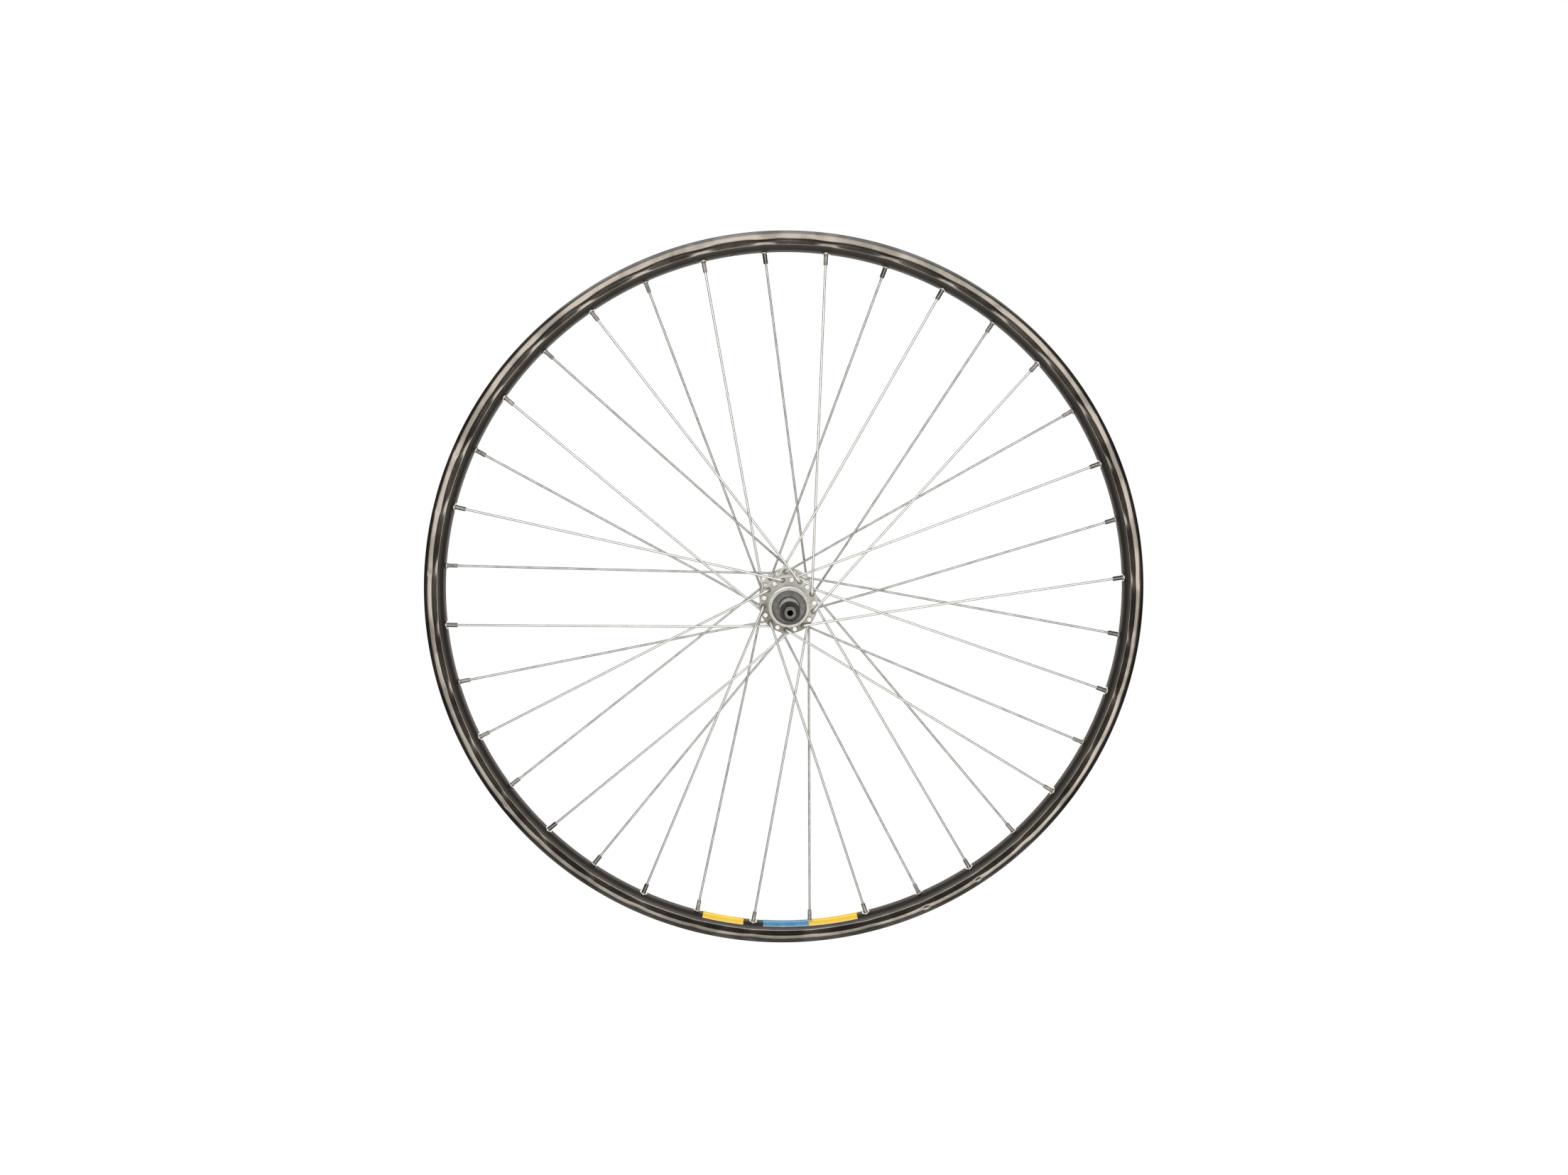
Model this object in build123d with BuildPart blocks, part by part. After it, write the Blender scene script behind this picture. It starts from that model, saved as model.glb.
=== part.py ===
from build123d import *
from math import asin, cos, degrees, radians, sin, sqrt
import os

# Rear wheel of a road bicycle: a hollow aluminium rim for a glued tyre, 36 spokes laced three-cross
# to a small-flange hub threaded for a freewheel, and a hollow axle on two shielded bearings.
# Millimetres. The axle lies along Y, the wheel's middle plane is XZ and +Z is up. The drive side
# faces -Y, and wheel angles run anticlockwise from +X, seen from the drive side.

# Rim
rim_radius = 316.5  # outer edge of the rim walls
rim_width = 20.0  # widest place of the walls
widest_drop = 6.0  # from the outer edge in to the widest place
crease_drop = 5.5  # from there in to the crease, where a wall turns into the spoke bed
bed_drop = 4.8  # from the crease in to the spoke bed at the wheel's middle plane
lip_inset = 1.0  # each wall's outer edge, in from its widest place
lip_flat = 0.8
lip_round = 0.35
crease_inset = 1.5
tyre_seat_depth = 3.1  # hollow that the tyre beds into
rim_wall = 1.1
valve_hole = 6.5
valve_angle = 98.7
seam_angle = 278.95
sleeve_length = 37.0  # plug inside the rim's joint
sleeve_wall = 1.2
sleeve_fit = 0.1

# Lacing
spoke_count = 36
crosses = 3
first_angle = 3.72  # wheel angle of the first spoke hole in the rim
hole_stagger = 1.5  # rim holes stand this far to their own flange's side
wire = 2.0
elbow_radius = 2.2
elbow_rise = 2.25  # wire's centre above the flange face at the elbow
spoke_hole_play = 0.2  # around the wire in its flange hole
head_lip = 1.0
head_cone = 0.9
head_button = 0.5
lacing_gap = 0.1  # between two spokes where they pass at the last crossing
lacing_bend = 40.0
thread_reach = 5.0  # how far a spoke's end passes the spoke bed

# Nipples and eyelets
nipple_width = 4.0
nipple_flat_depth = 0.25
nipple_length = 12.6
nipple_head_lip = 0.9
nipple_head_height = 2.0
nipple_cone = 0.8
thread_fit = 0.05
eyelet_lip = 0.85  # ring on the spoke bed, out from the neck
eyelet_ring = 0.85
eyelet_sunk = 0.35  # how deep the ring beds into the rim
eyelet_wall = 0.5
eyelet_fit = 0.05
nipple_play = 0.15  # around the nipple in its eyelet
socket_play = 0.2  # around the nipple's head in the cup that carries it
socket_floor_height = 2.95  # the cup's underside above the spoke bed
socket_floor = 0.5
socket_drop = 0.35  # cup's edge below the tyre seat

# Hub shell, whose widths grow from the bearing seats outwards
recess_step = 2.0  # dust cap's recess, round the bearing
recess_depth = 3.8
thread_wall = 2.4  # freewheel thread, round the recess
thread_length = 14.0  # with its relief
relief_wall = 1.6
relief_length = 1.8
thread_bevel = 0.8
shoulder_step = 1.6  # stop for the freewheel, round its thread
shoulder_length = 3.5
head_room = 3.0  # from the shoulder to the middle of a spoke hole
flange_rim = 3.5  # from there to the flange's edge
flange_thickness = 3.2
flange_edge = 1.1
flange_root = 1.5
drive_flange = 20.9  # middle of each flange from the wheel's middle plane
left_flange = 32.8
left_boss_wall = 2.0
left_boss_length = 7.1
bearing_step = 1.8  # stop that a bearing is pressed against
root_wall = 5.0  # barrel's wall next to the flanges, and half way between them
waist_wall = 1.8

# Axle set
axle_width = 10.0
axle_reach = 5.5  # from a locknut's face to the axle's end
axle_bore = 5.2
axle_bevel = 0.6
across_locknuts = 126.0
locknut_wall = 3.7
locknut_thickness = 5.0
locknut_flat_depth = 0.35
locknut_bevel = 0.5
washer_wall = 3.2
washer_thickness = 1.0
key_width = 2.6
key_depth = 0.8
spacer_wall = 3.5
nose_wall = 1.8  # end that bears on the inner ring only
nose_length = 2.0
seat_fit = 0.02  # around pressed and screwed seats

# Bearings and dust caps
bearing_width = 26.0
bearing_length = 8.0
outer_ring_wall = 2.0
inner_ring_wall = 2.2
shield = 0.4
shield_gap = 0.35
ball_groove = 4.9
groove_depth = 0.6
cap_sheet = 0.8
cap_gap = 0.8  # around the spacer
cap_skirt = 2.4

# Labels, bare of print
label_width = 13.0
label_thickness = 0.15
label_glue = 0.2
single_label = (254.8, 262.0)
double_label = (265.5, 282.1)
label_hole_play = 0.3

# Sizes that follow from these
widest_radius = rim_radius - widest_drop
crease_radius = widest_radius - crease_drop
spoke_bed_radius = crease_radius - bed_drop
lip_width = rim_width - 2 * lip_inset
tyre_seat_width = lip_width - 2 * lip_flat
crease_width = rim_width - 2 * crease_inset
spoke_hole = wire + 2 * spoke_hole_play
head_width = wire + 2 * head_lip
nipple_flats = nipple_width - 2 * nipple_flat_depth
nipple_head_width = nipple_width + 2 * nipple_head_lip
neck_width = nipple_width + 2 * nipple_play + 2 * eyelet_wall
eyelet_width = neck_width + 2 * eyelet_lip
socket_width = nipple_head_width + 2 * socket_play + 2 * eyelet_wall
recess_width = bearing_width + 2 * recess_step
freewheel_thread = recess_width + 2 * thread_wall
relief_width = recess_width + 2 * relief_wall
shoulder_width = freewheel_thread + 2 * shoulder_step
hole_circle = shoulder_width + 2 * head_room
flange_width = hole_circle + 2 * flange_rim
left_boss = recess_width + 2 * left_boss_wall
barrel_bore = bearing_width - 2 * bearing_step
barrel_root = barrel_bore + 2 * root_wall
barrel_waist = barrel_bore + 2 * waist_wall
drive_end = drive_flange + flange_thickness / 2 + shoulder_length + thread_length
left_end = left_flange + flange_thickness / 2 + left_boss_length
axle_length = across_locknuts + 2 * axle_reach
locknut_width = axle_width + 2 * locknut_wall
locknut_flats = locknut_width - 2 * locknut_flat_depth
washer_width = axle_width + 2 * washer_wall
spacer_width = axle_width + 2 * spacer_wall
spacer_nose = axle_width + 2 * nose_wall
cap_hole = spacer_width + 2 * cap_gap

drive, left = -1, 1
flange_from_middle = {drive: drive_flange, left: left_flange}
end_from_middle = {drive: drive_end, left: left_end}
side_names = {drive: "drive", left: "left"}
bed_curve = (crease_radius - spoke_bed_radius) / 2 + crease_width**2 / 8 / (crease_radius - spoke_bed_radius)
bed_centre = spoke_bed_radius + bed_curve
lean = crosses * 720 / spoke_count
pitch = 360 / spoke_count
across_axle = Vector(0, 1, 0)


def on_wheel(radius, angle, y=0.0):
    """The point at a radius and a wheel angle, y from the middle plane."""
    return Vector(radius * cos(radians(angle)), y, radius * sin(radians(angle)))


def axial_plane(angle):
    """The half plane through the axle at a wheel angle: its X is the radius and its Y the axle."""
    return Plane(origin=(0, 0, 0), x_dir=on_wheel(1, angle), z_dir=on_wheel(1, angle + 90))


def hub_angle(number):
    """Wheel angle of a spoke's hole in its flange: it leans back or forward by turns in pairs."""
    return first_angle + number * pitch + (-lean if number % 4 < 2 else lean)


def spoke_side(number):
    return drive if number % 2 == 0 else left


def rim_hole(number):
    """Middle of a spoke's hole on the face of the spoke bed."""
    radius = bed_centre - sqrt(bed_curve**2 - hole_stagger**2)
    return on_wheel(radius, first_angle + number * pitch, spoke_side(number) * hole_stagger)


def elbow_corner(number, outside):
    """Where the wire's two straight parts would meet at the elbow."""
    side = spoke_side(number)
    rise = flange_thickness / 2 + elbow_rise
    y = side * (flange_from_middle[side] + (rise if outside else -rise))
    return on_wheel(hole_circle / 2, hub_angle(number), y)


def last_crossing(number):
    """Where a spoke passes its last neighbour: it changes sides with it there, so the two brace."""
    outside = number % 4 < 2
    near, far = elbow_corner(number, outside), rim_hole(number)
    towards = radians(first_angle + number * pitch + (-pitch if outside else pitch))
    start = near.X * sin(towards) - near.Z * cos(towards)
    end = far.X * sin(towards) - far.Z * cos(towards)
    share = start / (start - end)
    point = near + (far - near) * share
    other = elbow_corner(number, not outside)
    middle = (point.Y + other.Y + (far.Y - other.Y) * share) / 2
    side = spoke_side(number)
    pass_by = (wire + lacing_gap) / 2
    return Vector(point.X, middle + side * (-pass_by if outside else pass_by), point.Z)


def station(number):
    """Plane on the spoke bed, square to the spoke there: its Z points outwards along the spoke."""
    outwards = (rim_hole(number) - last_crossing(number)).normalized()
    return Plane(origin=rim_hole(number), x_dir=outwards.cross(across_axle), z_dir=outwards)


stations = [station(number) for number in range(spoke_count)]
bed_to_seat = rim_radius - tyre_seat_depth - spoke_bed_radius
os.makedirs("parts", exist_ok=True)


def rim_outline():
    """Outer edge of the rim's section, radius along X and the axle along Y."""
    seat, lip, crease = tyre_seat_width / 2, lip_width / 2, crease_width / 2
    ThreePointArc((rim_radius, -seat), (rim_radius - tyre_seat_depth, 0), (rim_radius, seat))
    Line((rim_radius, seat), (rim_radius, lip))
    ThreePointArc((rim_radius, lip), (widest_radius, rim_width / 2), (crease_radius, crease))
    ThreePointArc((crease_radius, crease), (spoke_bed_radius, 0), (crease_radius, -crease))
    ThreePointArc((crease_radius, -crease), (widest_radius, -rim_width / 2), (rim_radius, -lip))
    Line((rim_radius, -lip), (rim_radius, -seat))


# Rim: one hollow extrusion rolled into a hoop, with a hole in both walls at every spoke
with BuildPart() as rim:
    with BuildSketch() as rim_section:
        with BuildLine():
            rim_outline()
        make_face()
        offset(amount=-rim_wall, kind=Kind.INTERSECTION, mode=Mode.SUBTRACT)
        fillet(rim_section.vertices().group_by(Axis.X)[-1], radius=min(lip_round, 0.45 * lip_flat))
    revolve(axis=Axis.Y)
    low = (Align.CENTER, Align.CENTER, Align.MIN)
    with Locations(*[plane.offset(-eyelet_ring).location for plane in stations]):
        Cylinder(eyelet_width / 2 + eyelet_fit, eyelet_ring + eyelet_sunk, align=low, mode=Mode.SUBTRACT)
    with Locations(*[plane.location for plane in stations]):
        Cylinder(neck_width / 2 + eyelet_fit, bed_to_seat / 2, align=low, mode=Mode.SUBTRACT)
    with Locations(*[plane.offset(bed_to_seat / 2).location for plane in stations]):
        Cylinder(socket_width / 2 + eyelet_fit, bed_to_seat, align=low, mode=Mode.SUBTRACT)
    valve_plane = Plane(origin=on_wheel(spoke_bed_radius, valve_angle), z_dir=on_wheel(1, valve_angle))
    with Locations(valve_plane.offset(-rim_wall).location):
        Cylinder(valve_hole / 2, bed_to_seat + tyre_seat_depth + rim_wall, align=low, mode=Mode.SUBTRACT)
rim.part.label = "rim"
export_step(rim.part, "parts/rim.step")

# Sleeve inside the rim where its two ends meet
sleeve_angle = degrees(sleeve_length / rim_radius)
with BuildPart() as rim_joint_sleeve:
    with BuildSketch(axial_plane(seam_angle + sleeve_angle / 2)) as sleeve_section:
        with BuildLine():
            rim_outline()
        make_face()
        offset(amount=-rim_wall - sleeve_fit, kind=Kind.INTERSECTION, mode=Mode.REPLACE)
        offset(amount=-sleeve_wall, kind=Kind.INTERSECTION, mode=Mode.SUBTRACT)
    revolve(axis=Axis.Y, revolution_arc=sleeve_angle)
rim_joint_sleeve.part.label = "rim_joint_sleeve"
export_step(rim_joint_sleeve.part, "parts/rim_joint_sleeve.step")

# Eyelet: ring on the spoke bed, neck through it and a cup that reaches the tyre seat's hole
neck_bore = nipple_width / 2 + nipple_play
socket_top = bed_to_seat - socket_drop
with BuildPart() as eyelet:
    with BuildSketch(Plane.XZ) as eyelet_section:
        with BuildLine():
            Polyline(
                (neck_bore, eyelet_sunk - eyelet_ring),
                (eyelet_width / 2, eyelet_sunk - eyelet_ring),
                (eyelet_width / 2, eyelet_sunk),
                (neck_bore + eyelet_wall, eyelet_sunk),
                (neck_bore + eyelet_wall, socket_floor_height),
                (socket_width / 2, socket_floor_height),
                (socket_width / 2, socket_top),
                (socket_width / 2 - eyelet_wall, socket_top),
                (socket_width / 2 - eyelet_wall, socket_floor_height + socket_floor),
                (neck_bore, socket_floor_height + socket_floor),
                close=True,
            )
        make_face()
        ring_edge = eyelet_section.vertices().group_by(Axis.Y)[0].sort_by(Axis.X)[-1]
        fillet(ring_edge, radius=(eyelet_ring - eyelet_sunk) * 0.9)
    revolve(axis=Axis.Z)
with BuildPart() as eyelets:
    with Locations(*[plane.location for plane in stations]):
        add(eyelet.part)
eyelets.part.label = "eyelets"
export_step(eyelets.part, "parts/eyelets.step")

# Nipple: head seated in the cup, shank with four flats for the spoke key
seat_height = socket_floor_height + socket_floor
with BuildPart() as nipple:
    with BuildSketch(Plane.XY.offset(seat_height)):
        Circle(nipple_width / 2)
        Rectangle(nipple_flats, nipple_flats, mode=Mode.INTERSECT)
    extrude(amount=nipple_head_height - nipple_length)
    with Locations((0, 0, seat_height)):
        Cylinder(nipple_head_width / 2, nipple_head_height - nipple_cone, align=low)
    with Locations((0, 0, seat_height + nipple_head_height - nipple_cone)):
        Cone(nipple_head_width / 2, nipple_width / 2, nipple_cone, align=low)
    with Locations((0, 0, seat_height)):
        Hole(wire / 2 + thread_fit)
for side in (drive, left):
    with BuildPart() as nipples:
        with Locations(*[plane.location for n, plane in enumerate(stations) if spoke_side(n) == side]):
            add(nipple.part)
    nipples.part.label = f"nipples_{side_names[side]}_side"
    export_step(nipples.part, f"parts/{nipples.part.label}.step")

# Spokes: head in the flange, elbow, run to the last crossing and on into the nipple. Two of every
# four have the elbow outside their flange, and the other two inside it.
for number in range(spoke_count):
    outside = number % 4 < 2
    corner = elbow_corner(number, outside)
    through = across_axle * (spoke_side(number) if outside else -spoke_side(number))
    head_seat = corner - through * (elbow_rise + flange_thickness)
    end = rim_hole(number) + stations[number].z_dir * thread_reach
    with BuildPart() as spoke:
        with BuildLine() as run:
            FilletPolyline(head_seat, corner, last_crossing(number), end, radius=[elbow_radius, lacing_bend])
        with BuildSketch(Plane(origin=head_seat, z_dir=through)):
            Circle(wire / 2)
        sweep(path=run.wires()[0])
        with Locations(Plane(origin=head_seat, z_dir=-through).location):
            Cone(wire / 2, head_width / 2, head_cone, align=low)
        with Locations(Plane(origin=head_seat - through * head_cone, z_dir=-through).location):
            Cylinder(head_width / 2, head_button, align=low)
    spoke.part.label = f"spoke_{number + 1:02}"
    export_step(spoke.part, f"parts/{spoke.part.label}.step")

# Hub shell: barrel with two flanges, freewheel thread on the drive side, bearing seat in each end
drive_face = -drive_flange - flange_thickness / 2
drive_back = -drive_flange + flange_thickness / 2
left_back = left_flange - flange_thickness / 2
left_face = left_flange + flange_thickness / 2
shoulder_y = drive_face - shoulder_length
with BuildPart() as hub_shell:
    with BuildSketch() as hub_section:
        with BuildLine():
            Polyline(
                (barrel_root / 2, drive_back),
                (flange_width / 2, drive_back),
                (flange_width / 2, drive_face),
                (shoulder_width / 2, drive_face),
                (shoulder_width / 2, shoulder_y),
                (relief_width / 2, shoulder_y),
                (relief_width / 2, shoulder_y - relief_length),
                (freewheel_thread / 2, shoulder_y - relief_length),
                (freewheel_thread / 2, -drive_end + thread_bevel),
                (freewheel_thread / 2 - thread_bevel, -drive_end),
                (0, -drive_end),
                (0, left_end),
                (left_boss / 2 - thread_bevel, left_end),
                (left_boss / 2, left_end - thread_bevel),
                (left_boss / 2, left_face),
                (flange_width / 2, left_face),
                (flange_width / 2, left_back),
                (barrel_root / 2, left_back),
            )
            ThreePointArc(
                (barrel_root / 2, left_back),
                (barrel_waist / 2, (drive_back + left_back) / 2),
                (barrel_root / 2, drive_back),
            )
        make_face()
        rim_corners = hub_section.vertices().group_by(Axis.X)[-1]
        fillet(rim_corners, radius=flange_edge)
        roots = [v for v in hub_section.vertices() if abs(v.X - barrel_root / 2) < 1e-6]
        fillet(roots, radius=flange_root)
    revolve(axis=Axis.Y)
    with BuildSketch(Plane.XZ):
        Circle(barrel_bore / 2)
    extrude(amount=drive_end + left_end, both=True, mode=Mode.SUBTRACT)
    for side in (drive, left):
        mouth = Plane.XZ.offset(-side * end_from_middle[side])
        with BuildSketch(mouth):
            Circle(recess_width / 2)
        extrude(amount=side * recess_depth, mode=Mode.SUBTRACT)
        with BuildSketch(mouth):
            Circle(bearing_width / 2 + seat_fit)
        extrude(amount=side * (recess_depth + bearing_length), mode=Mode.SUBTRACT)
        middle = side * flange_from_middle[side]
        holes = [n for n in range(spoke_count) if spoke_side(n) == side]
        spots = [Plane(origin=on_wheel(hole_circle / 2, hub_angle(n), middle), z_dir=across_axle) for n in holes]
        with Locations(*[spot.location for spot in spots]):
            Cylinder(spoke_hole / 2, flange_thickness * 2, mode=Mode.SUBTRACT)
hub_shell.part.label = "hub_shell"
export_step(hub_shell.part, "parts/hub_shell.step")


def turned(name, section_points):
    """A piece turned about the axle from a closed section, radius along X and the axle along Y."""
    with BuildPart() as piece:
        with BuildSketch():
            with BuildLine():
                Polyline(*section_points, close=True)
            make_face()
        revolve(axis=Axis.Y)
    piece.part.label = name
    export_step(piece.part, f"parts/{name}.step")


inner_bore = axle_width / 2 + seat_fit
outer_ring_bore = bearing_width / 2 - outer_ring_wall
inner_ring_width = axle_width / 2 + inner_ring_wall
locknut_face = across_locknuts / 2
washer_out = locknut_face - locknut_thickness
spacer_out = washer_out - washer_thickness
for side in (drive, left):
    name = side_names[side]
    cap_y = end_from_middle[side] - recess_depth + cap_sheet
    near_y = end_from_middle[side] - recess_depth
    far_y = near_y - bearing_length
    mid_y = (near_y + far_y) / 2

    # Outer ring of the shielded bearing, with its two shields
    turned(
        f"bearing_outer_{name}",
        [
            (bearing_width / 2, side * near_y),
            (inner_ring_width + shield_gap, side * near_y),
            (inner_ring_width + shield_gap, side * (near_y - shield)),
            (outer_ring_bore, side * (near_y - shield)),
            (outer_ring_bore, side * (far_y + shield)),
            (inner_ring_width + shield_gap, side * (far_y + shield)),
            (inner_ring_width + shield_gap, side * far_y),
            (bearing_width / 2, side * far_y),
        ],
    )

    # Inner ring, clamped on the axle, with the groove that its balls run in
    with BuildPart() as inner_ring:
        with BuildSketch():
            with BuildLine():
                Polyline(
                    (inner_ring_width, side * (mid_y + ball_groove / 2)),
                    (inner_ring_width, side * near_y),
                    (inner_bore, side * near_y),
                    (inner_bore, side * far_y),
                    (inner_ring_width, side * far_y),
                    (inner_ring_width, side * (mid_y - ball_groove / 2)),
                )
                ThreePointArc(
                    (inner_ring_width, side * (mid_y - ball_groove / 2)),
                    (inner_ring_width - groove_depth, side * mid_y),
                    (inner_ring_width, side * (mid_y + ball_groove / 2)),
                )
            make_face()
        revolve(axis=Axis.Y)
    inner_ring.part.label = f"bearing_inner_{name}"
    export_step(inner_ring.part, f"parts/bearing_inner_{name}.step")

    # Dust cap pressed from sheet, its skirt turned outwards
    turned(
        f"dust_cap_{name}",
        [
            (cap_hole / 2, side * (cap_y - cap_sheet)),
            (recess_width / 2 - seat_fit, side * (cap_y - cap_sheet)),
            (recess_width / 2 - seat_fit, side * (cap_y - cap_sheet + cap_skirt)),
            (recess_width / 2 - seat_fit - cap_sheet, side * (cap_y - cap_sheet + cap_skirt)),
            (recess_width / 2 - seat_fit - cap_sheet, side * cap_y),
            (cap_hole / 2, side * cap_y),
        ],
    )

    # Spacer with a nose that bears on the inner ring
    turned(
        f"axle_spacer_{name}",
        [
            (inner_bore, side * near_y),
            (spacer_nose / 2, side * near_y),
            (spacer_nose / 2, side * (near_y + nose_length)),
            (spacer_width / 2, side * (near_y + nose_length)),
            (spacer_width / 2, side * spacer_out),
            (inner_bore, side * spacer_out),
        ],
    )

    # Lock washer with a key that stands in the axle's keyway
    with BuildPart() as lock_washer:
        with BuildSketch(Plane.XZ.offset(-side * spacer_out)):
            Circle(washer_width / 2)
            Circle(inner_bore, mode=Mode.SUBTRACT)
            key_root = axle_width / 2 - key_depth + seat_fit
            with Locations((0, (key_root + inner_bore) / 2 + seat_fit)):
                Rectangle(key_width - 2 * seat_fit, inner_bore - key_root + 2 * seat_fit)
        extrude(amount=-side * washer_thickness)
    lock_washer.part.label = f"lock_washer_{name}"
    export_step(lock_washer.part, f"parts/lock_washer_{name}.step")

    # Locknut: round, with two flats for the wrench and a bevelled outer face
    with BuildPart() as locknut:
        with BuildSketch():
            with BuildLine():
                Polyline(
                    (inner_bore, side * washer_out),
                    (locknut_width / 2, side * washer_out),
                    (locknut_width / 2, side * (locknut_face - locknut_bevel)),
                    (locknut_width / 2 - locknut_bevel, side * locknut_face),
                    (inner_bore, side * locknut_face),
                    close=True,
                )
            make_face()
        revolve(axis=Axis.Y)
        with Locations((0, side * (washer_out + locknut_thickness / 2), 0)):
            Box(locknut_flats, locknut_thickness, locknut_width, mode=Mode.INTERSECT)
    locknut.part.label = f"locknut_{name}"
    export_step(locknut.part, f"parts/locknut_{name}.step")

# Distance sleeve between the two inner rings
inner_ends = {side: end_from_middle[side] - recess_depth - bearing_length for side in (drive, left)}
turned(
    "distance_sleeve",
    [
        (inner_bore, -inner_ends[drive]),
        (spacer_nose / 2, -inner_ends[drive]),
        (spacer_nose / 2, inner_ends[left]),
        (inner_bore, inner_ends[left]),
    ],
)

# Axle: hollow for the skewer, with a keyway along the top of each end for the lock washer
with BuildPart() as axle:
    with BuildSketch(Plane.XZ):
        Circle(axle_width / 2)
    extrude(amount=axle_length / 2, both=True)
    chamfer(axle.edges().filter_by(GeomType.CIRCLE), length=axle_bevel)
    with BuildSketch(Plane.XZ):
        Circle(axle_bore / 2)
    extrude(amount=axle_length / 2, both=True, mode=Mode.SUBTRACT)
    keyway_length = axle_length / 2 - spacer_out
    for side in (drive, left):
        with Locations((0, side * (spacer_out + keyway_length / 2), axle_width / 2)):
            Box(key_width, keyway_length, 2 * key_depth, mode=Mode.SUBTRACT)
axle.part.label = "axle"
export_step(axle.part, "parts/axle.step")


def label_section(to_face, thickness):
    """A band that follows the spoke bed, to_face above it."""
    inner = bed_curve + to_face
    half_angle = asin(label_width / 2 / bed_curve)

    def at(curve, angle):
        return (bed_centre - curve * cos(angle), curve * sin(angle))

    outer = inner + thickness
    ThreePointArc(at(inner, -half_angle), at(inner, 0), at(inner, half_angle))
    Line(at(inner, half_angle), at(outer, half_angle))
    ThreePointArc(at(outer, half_angle), at(outer, 0), at(outer, -half_angle))
    Line(at(outer, -half_angle), at(inner, -half_angle))


# Labels: bare foil glued on the spoke bed, cut out round any eyelet that they meet
for name, (start, stop) in {"label_single": single_label, "label_double": double_label}.items():
    with BuildPart() as label:
        with BuildSketch(axial_plane(stop)):
            with BuildLine():
                label_section(label_glue, label_thickness)
            make_face()
        revolve(axis=Axis.Y, revolution_arc=stop - start)
        angles = [first_angle + n * pitch for n in range(spoke_count)]
        met = [plane for plane, angle in zip(stations, angles) if start < angle < stop]
        if met:
            with Locations(*[plane.location for plane in met]):
                Cylinder(eyelet_width / 2 + label_hole_play, eyelet_width, mode=Mode.SUBTRACT)
    label.part.label = name
    export_step(label.part, f"parts/{name}.step")
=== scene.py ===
# %% [markdown]
# # Rear wheel of a road bicycle
# This lesson dresses a bicycle wheel: a dark anodised rim for a glued tyre, 36 spokes laced
# three-cross and a small-flange hub with a bare freewheel thread. Blender could rebuild everything,
# but the wheel's working parts are right as they are, so only what looks too plain is made again,
# and the rest gets its finish here. The axle lies along Y, the drive side faces -Y and +Z is up, in
# metres.

# %% Loading the wheel
from math import atan2, cos, degrees, hypot, pi, radians, sin

import bmesh
import bpy
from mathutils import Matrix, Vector


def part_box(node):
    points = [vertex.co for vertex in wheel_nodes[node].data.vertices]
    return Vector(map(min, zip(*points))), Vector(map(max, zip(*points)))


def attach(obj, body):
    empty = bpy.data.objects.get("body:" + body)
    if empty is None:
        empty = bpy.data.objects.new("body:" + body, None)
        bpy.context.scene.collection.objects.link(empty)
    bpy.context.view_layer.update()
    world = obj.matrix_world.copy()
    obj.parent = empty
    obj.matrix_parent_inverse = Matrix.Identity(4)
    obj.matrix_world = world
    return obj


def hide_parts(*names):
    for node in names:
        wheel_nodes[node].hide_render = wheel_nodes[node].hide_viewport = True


MM = 0.001
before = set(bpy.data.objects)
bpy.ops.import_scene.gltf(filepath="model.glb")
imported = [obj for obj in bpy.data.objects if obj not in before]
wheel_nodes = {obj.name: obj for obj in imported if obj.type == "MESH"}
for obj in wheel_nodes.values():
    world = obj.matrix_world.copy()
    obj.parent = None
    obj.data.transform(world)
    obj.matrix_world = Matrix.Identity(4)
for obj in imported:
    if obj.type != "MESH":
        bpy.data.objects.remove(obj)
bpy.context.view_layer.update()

# %% [markdown]
# ## One helper for every node tree
# A finish is a formula over the surface, and a repeated part is a formula over its copies. Both are
# node trees in Blender, and hundreds of lines that add and link nodes hide the formula. A small class
# that wraps one socket lets Python's own signs add the Math nodes, so a mask reads as written on
# paper, and one method makes every other node.


# %% A socket that takes part in sums
class Wire:
    """The output socket of a node, which takes part in sums as a number does."""

    def __init__(self, tree, socket):
        self.tree, self.socket = tree, socket

    def math(self, operation, *others):
        """This value through one Math node, as its first input."""
        return self.tree.math(operation, self, *others)

    def __add__(self, other):
        return self.math("ADD", other)

    def __sub__(self, other):
        return self.math("SUBTRACT", other)

    def __rsub__(self, other):
        return self.tree.math("SUBTRACT", other, self)

    def __mul__(self, other):
        return self.math("MULTIPLY", other)

    def __truediv__(self, other):
        return self.math("DIVIDE", other)

    def __rtruediv__(self, other):
        return self.tree.math("DIVIDE", other, self)

    def __neg__(self):
        return self * -1

    __radd__, __rmul__ = __add__, __mul__

    def squared(self):
        return self * self

    def size(self):
        return self.math("ABSOLUTE")

    def modulo(self, span):
        """What is left above the last whole multiple of a span."""
        return self.math("FLOORED_MODULO", span)

    def bell(self, middle, width):
        """1 at the middle, falling off to either side like a bell."""
        return (-((self - middle) / width).squared()).math("EXPONENT")

    def step(self, edge, blur):
        """0 below the edge and 1 above it, blurred over a width."""
        settings = {"interpolation_type": "SMOOTHSTEP"}
        inputs = {"Value": self, "From Min": edge - blur / 2, "From Max": edge + blur / 2}
        return self.tree.node("ShaderNodeMapRange", settings, inputs)


print("a wire adds, subtracts, multiplies and divides")


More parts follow.
